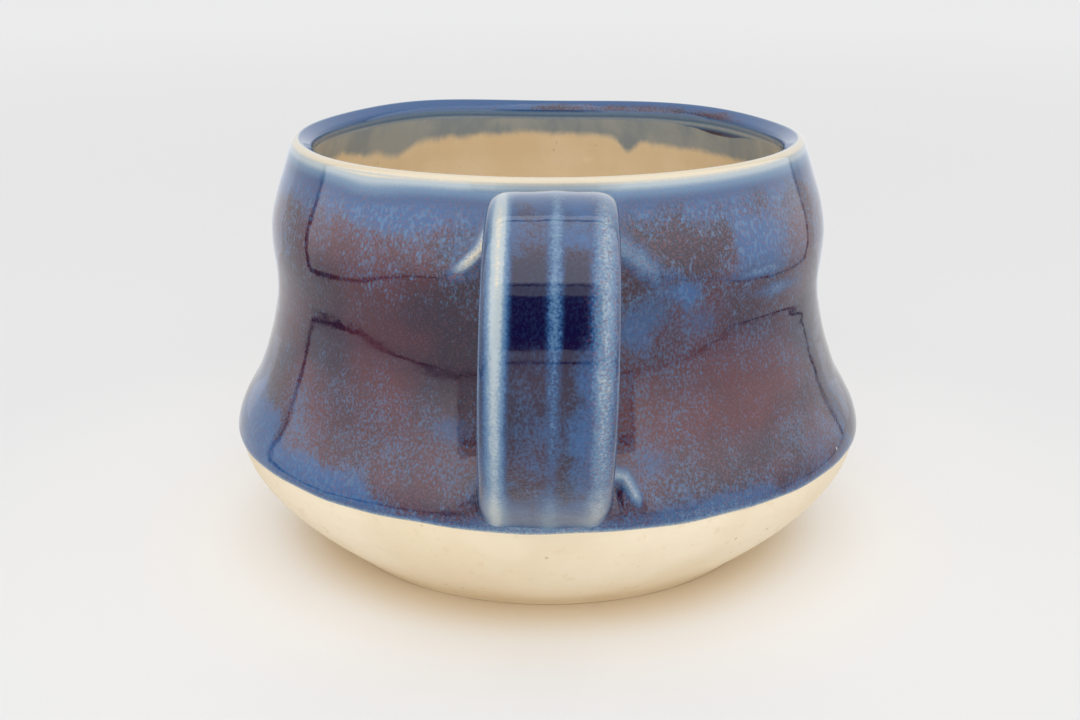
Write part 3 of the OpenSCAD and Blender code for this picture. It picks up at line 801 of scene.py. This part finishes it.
def strapRing(t, lift, ridged):
    x, out, _, _ = strapSection(t, lift, ridged)
    at, away = spine(t), spineOut(t)
    x = strapMix(t, "upperX", "lowerX") + x
    return np.stack([x, -(at[0] + away[0] * out), at[1] + away[1] * out], -1)


def onWall(x, z, lift):
    r = hermite(outerWall, z)[0]
    r = r + handMade(handleSide + np.arcsin(np.clip(x / r, -1, 1)), z) + lift
    return np.stack([x, -np.sqrt(r * r - x * x), z], -1)


def flareRings(end, lift, footLift, ridged):
    joint = strap["lower" if end else "upper"]
    x, out, halfW, halfT = strapSection(end, lift, ridged)
    away = spineOut(end)[1]
    share = np.clip(out / halfT, -1, 1)  # a finger ridge stands a little past 1
    base, gain, power = joint["growth"]
    grown = base + gain * ((1 - share) / 2) ** power
    side = joint["least"] + (joint["most"] - joint["least"]) * grown
    bareX = strapMix(end, "upperX", "lowerX") + x
    bareZ = spine(end)[1] + away * out - joint["drop"] * smooth(0, 1, share)
    footZ = bareZ + np.sign(away) * share * np.where(share > 0, joint["outer"], joint["inner"])
    foot = onWall(bareX + side * x / halfW, footZ, footLift)
    bare = onWall(bareX, bareZ, footLift)
    pulled = guides[3] - guides[2] if end else guides[1] - guides[0]
    begin = joint["reach"] / np.linalg.norm(3 * pulled)
    ring = strapRing(1 - begin if end else begin, lift, ridged)
    v = np.linspace(0, 1, strap["flareRings"])[:, None, None] ** strap["gather"]
    # the outer face turns in to the wall crisply, the inner face in a long sweep
    pull = (1 + joint["crisp"] * smooth(*strap["crispFrom"], share))[:, None]
    middle = 2 * v * (1 - v) * pull
    return ((1 - v) ** 2 * foot + middle * bare + v * v * ring) / ((1 - v) ** 2 + middle + v * v), begin


def strapRows(lift, footLift, ridged):
    upper, first = flareRings(0, lift, footLift, ridged)
    lower, last = flareRings(1, lift, footLift, ridged)
    t = np.linspace(first, 1 - last, strap["bends"])[1:-1]
    return np.vstack([upper, [strapRing(v, lift, ridged) for v in t], lower[::-1]])


# How the coat varies along the strap, from 0 at its top joint to 1 at its foot, across it in millimetres,
# and round it, from -1 on the inner face to 1 on the outer
strapLook = {
    "face": (0.2, 0.8), "crown": [(0.14, 0.26, 0.2), (0.12, 0.4, 0.28)], "underCrown": 0.5,
    "heel": (0.25, 0.72, 0.82), "heelFace": (0.3, 0.9),
    "edge": (0.3, -0.1, 0.5), "edgeFace": (-0.5, 0.3), "edgeEnd": (0.95, 0.8),
    "blue": [(0.45, 0.42, 0.3), (0.6, 0.3, 0.23), (0.32, 0.45, 0.6)], "blueStreak": (0.25, 5.2, 2),
    "lowStreak": (0.1, 4.5, 2), "lowStreakFrom": (0.4, 0.6),
    # the band across the strap's middle: pooled glaze, and a painted dark reflection of the tent's door
    "pool": 0.58, "poolAndPaintedReflection": (0.4, 0.33, 0.4), "poolAndPaintedReflectionEnd": (0.58, 0.48), "lowPool": (0.1, 0.6, 0.09),
    "poolFace": (0.2, 0.7), "innerPool": (0.3, 0.2, -0.4),
    "veins": (0.45, 4, 7.5), "veinsFrom": (0.1, 0.2), "veinFace": (0, 0.6),
    "calm": (0.45, -2, -6), "highCalm": (0.3, 0.4, 0.2), "dull": (0.7, 0.82), "dullFace": (0.1, 0.6),
}


def makeStrapCoat():
    lift, look = coat["thickness"], strapLook
    outside = strapRows(lift, lift - strap["coatFoot"], True)
    inside = strapRows(*strap["hidden"], False)
    x, out, halfW, halfT = strapSection(0.5, lift, True)
    out = out / halfT
    t = np.linspace(0, 1, len(outside))[:, None]
    thin = sum(bell(x, place, width) * np.interp(t, strap["along"], strong)
               for place, width, _, strong in strap["ridges"]) * smooth(*look["face"], out)
    crown = ramps(t, look["crown"]) * smooth(*look["face"], out)
    heel = ramp(t, *look["heel"]) * smooth(*look["heelFace"], out)
    edge = hump(np.abs(x) - halfW, *look["edge"]) * smooth(*look["edgeFace"], out)
    edge = edge * smooth(*look["edgeEnd"], t)
    # navy across the middle of the strap's outer face: pooled glaze, and a painted dark reflection of the
    # tent's door
    pool = (look["pool"] + ramp(t, *look["poolAndPaintedReflection"]) * smooth(*look["poolAndPaintedReflectionEnd"], t)
            + hump(t, *look["lowPool"])) * smooth(*look["poolFace"], out)
    masks = {
        "thin": np.maximum.reduce([thin + heel, crown + look["underCrown"] * thin, edge]),
        "blue": (ramps(t, look["blue"]) + hump(x, *look["blueStreak"])
                 + hump(x, *look["lowStreak"]) * smooth(*look["lowStreakFrom"], t)),
        "pool": np.maximum(pool, ramp(out, *look["innerPool"])),
        "veined": ramp(x, *look["veins"]) * smooth(*look["veinsFrom"], t) * smooth(*look["veinFace"], out),
        "calm": ramp(x, *look["calm"]) + ramp(t, *look["highCalm"]),
        "dull": smooth(*look["dull"], t) * smooth(*look["dullFace"], out)}
    rows = np.vstack([outside, inside[::-1]])
    gridPiece("strapCoat", rows, True, bothFaces(masks), strapMaterial, ["handle_glaze"])


def makeStrapClay():
    rows = strapRows(strap["clay"], strap["clay"], False)
    nodes = ["pulled_handle", "upper_joint_coil", "lower_joint_coil"]
    gridPiece("strapClay", rows, False, {}, clayMaterial, nodes)


makeClayBody()
makeStrapClay()
makeWallCoat()
makeLipCoat()
makeLiner()
makeStrapCoat()
print("pieces made")


# The stage: a white floor, and a light tent that only reflections see
stage = {
    "floorSize": 6.0, "floorColour": colour(235, 235, 235),
    # tones, and how far from the pot each gives way or sets in
    # painted bounce light: a warm tint on the floor at the pot's foot, standing in for light bounced off the
    # clay into the pot's contact shadow
    "nearColour": colour(233, 218, 194), "paintedBounceTo": (0.042, 0.058),
    # painted light: the floor is brighter round the pot, which lifts the pot's shadow on it
    "paintedLightColour": colour(246, 245, 244), "paintedLightTo": (0.07, 0.16),
    "farColour": colour(250, 250, 251), "farFrom": (0.2, 1.3), "farBehind": (-0.3, 0.3),
    # darker under the low front lamp: behind, edge, peak and front along Y, and half width
    "lampColour": colour(186, 186, 186), "lampReach": (-0.87, -0.79, -0.75, -0.15, 0.55),
    "backColour": colour(233, 234, 235), "roomLight": 0.85,
    # lamps: [power, size, place, tilt]; the second fills in from the front
    "lamps": [(2.0, 1.2, (0, -0.5, 1.1), 15), (1.5, 0.5, (0, -0.75, 0.3), 70)],
    "halfWidth": 0.222, "front": -0.36, "back": 0.17, "top": 0.44, "tint": (0.96, 0.99, 1.05, 1),
    "light": {"tentTop": 2.0, "tentFront": 0.85, "tentBack": 1.0}, "sideLight": (-0.05, 0.17, 0.6, 2.0),
    # seams and the door hang just inside the cloth
    "hang": 0.004, "sideHang": 0.003, "seam": 0.009, "hem": 0.05, "crossSeam": (0.403, 0.417),
    "door": (0.14, 0.086, 0.322), "bracket": (0.215, 0.15), "overhead": (0.099, 0.1134),
    # the lower edge of each side wall, as [place, height]; it lifts towards the front
    "skirt": [(-0.07, 0), (-0.15, 0.019), (-0.24, 0.036), (-0.36, 0.054)],
    "sides": {"Left": (-1, 0.045, 0.009), "Right": (1, 0.12, 0.00315)},  # side, post, lower seam
}


def flatSheet(name, corners, material):
    mesh = bpy.data.meshes.new(name)
    mesh.from_pydata(corners, [], [tuple(range(len(corners)))])
    mesh.materials.append(material)
    sheet = addObject(name, mesh)
    return sheet


def tentSheet(name, corners, material):  # only reflections see it
    sheet = flatSheet(name, corners, material)
    sheet.visible_camera = sheet.visible_diffuse = sheet.visible_shadow = False
    sheet.visible_transmission = sheet.visible_volume_scatter = False


def rectangle(axis, at, first, second):  # corners at one place on an axis, over spans of the other two
    (a, b), (c, d) = first, second
    return [[*corner[:axis], at, *corner[axis:]] for corner in ((a, c), (b, c), (b, d), (a, d))]


def glowMaterial(name, strength):
    material, tree, _ = newMaterial(name)
    tree.nodes.clear()
    glow = addNode(tree, "Emission", {"Color": stage["tint"], "Strength": strength})
    addNode(tree, "OutputMaterial", {"Surface": glow.outputs[0]})
    return material


def sideCloth():  # brighter towards its top
    material = glowMaterial("tentSide", 1.0)
    tree = material.node_tree
    height = addNode(tree, "SeparateXYZ", {"Vector": position(tree)}).outputs["Z"]
    tree.links.new(ease(tree, height, *stage["sideLight"]), tree.nodes["Emission"].inputs["Strength"])
    return material


def makeTent():
    w, f, b, h, s = (stage[key] for key in ("halfWidth", "front", "back", "top", "seam"))
    dark, cloth = glowMaterial("tentSeam", 0.0), sideCloth()
    wide, tall = (-w, w), (0, h)
    places = [(2, h, wide, (f, b)), (1, f, wide, tall), (1, b, wide, tall)]
    for (name, strength), place in zip(stage["light"].items(), places):
        tentSheet(name, rectangle(*place), glowMaterial(name, strength))
    near, hem = f + stage["hang"], stage["hem"]
    half, low, high = stage["door"]
    edge, lift = stage["bracket"]
    tentSheet("tentDoor", rectangle(1, near, (-half, half), (low, high)), dark)
    bars = [(wide, (hem - s, hem)), (wide, stage["crossSeam"]),
            ((-edge - s, -edge), (hem, lift)), ((edge, edge + s), (hem, lift)),
            ((-edge, -half), (lift, lift + s)), ((half, edge), (lift, lift + s))]
    for number, spans in enumerate(bars):
        tentSheet(f"tentSeam{number}", rectangle(1, near, *spans), dark)
    skirt = stage["skirt"]
    for label, (side, post, thick) in stage["sides"].items():
        x, inner = side * w, side * (w - stage["sideHang"])
        wall = [(x, y, z) for y, z in skirt] + [(x, f, h), (x, post, h), (x, post, 0)]
        tentSheet("tent" + label, wall, cloth)
        band = [(inner, y, z) for y, z in skirt] + [(inner, y, z + thick) for y, z in reversed(skirt)]
        tentSheet("tentSkirt" + label, band, dark)
        ribs = [((post - s, post), tall), ((skirt[0][0], post), (0, thick)), ((f, post), (h - s, h))]
        for number, spans in enumerate(ribs):
            tentSheet(f"tentRib{label}{number}", rectangle(0, inner, *spans), dark)
    tentSheet("tentOverhead", rectangle(2, h - stage["hang"], wide, stage["overhead"]), dark)


def makeFloor():
    material, tree, shader = newMaterial("paleFloor")
    at = position(tree)
    away = addNode(tree, "VectorMath", {0: at}, operation="LENGTH").outputs["Value"]
    place = addNode(tree, "SeparateXYZ", {"Vector": at}).outputs
    depth, across = place["Y"], calc(tree, "ABSOLUTE", place["X"])
    far = times(tree, ease(tree, away, *stage["farFrom"]), ease(tree, depth, *stage["farBehind"]))
    behind, edge, peak, front, side = stage["lampReach"]
    under = times(tree, ease(tree, depth, front, peak), ease(tree, depth, behind, edge),
                  ease(tree, across, side, 0.0))
    front, near = (ease(tree, away, *stage[label]) for label in ("paintedLightTo", "paintedBounceTo"))
    # painted light: a brighter floor round the pot lifts the pot's shadow
    tone = blend(tree, front, stage["paintedLightColour"], stage["floorColour"])
    tone = blend(tree, far, tone, stage["farColour"])
    tone = blend(tree, under, tone, stage["lampColour"])
    # painted bounce light: the floor turns warm at the pot's foot
    tone = blend(tree, near, stage["nearColour"], tone)
    tree.links.new(tone, shader.inputs["Base Color"])
    shader.inputs["Roughness"].default_value = 1.0
    shader.inputs["Specular IOR Level"].default_value = 0.0
    s = stage["floorSize"]
    flatSheet("floor", rectangle(2, 0, (-s, s), (-s, s)), material)


def makeWorld():
    world = bpy.data.worlds.new("softRoom")
    bpy.context.scene.world = world
    world.use_nodes = True
    tree = world.node_tree
    tree.nodes.clear()
    path = addNode(tree, "LightPath").outputs
    seen = weighted(tree, [(path[f"Is {kind} Ray"], 1) for kind in ("Camera", "Glossy", "Transmission")])
    room = addNode(tree, "Background", {"Color": (1, 1, 1, 1), "Strength": stage["roomLight"]})
    back = addNode(tree, "Background", {"Color": stage["backColour"], "Strength": 1.0})
    both = addNode(tree, "MixShader", {0: seen, 1: room.outputs[0], 2: back.outputs[0]})
    addNode(tree, "OutputWorld", {"Surface": both.outputs[0]})


def makeLamps():
    for number, (power, size, place, tilt) in enumerate(stage["lamps"]):
        lamp = bpy.data.lights.new(f"lamp{number}", "AREA")
        lamp.energy, lamp.size = power, size
        addObject(f"lamp{number}", lamp, place, (tilt, 0, 0)).visible_glossy = False


# The camera stands at the photograph's place, worked out for 1080 by 720
view = {"place": (0, -0.2899, 0.1265), "turns": (72.19, 0, 0.3), "lens": 50, "sensor": 36, "clip": 0.01}


def makeCamera():
    camera = bpy.data.cameras.new("camera")
    camera.lens = view["lens"]
    camera.sensor_width = view["sensor"]
    camera.clip_start = view["clip"]
    bpy.context.scene.camera = addObject("camera", camera, view["place"], view["turns"])


makeCamera()
makeFloor()
makeTent()
makeWorld()
makeLamps()
bpy.context.scene.view_settings.view_transform = "Standard"
print("stage, lights and camera made")
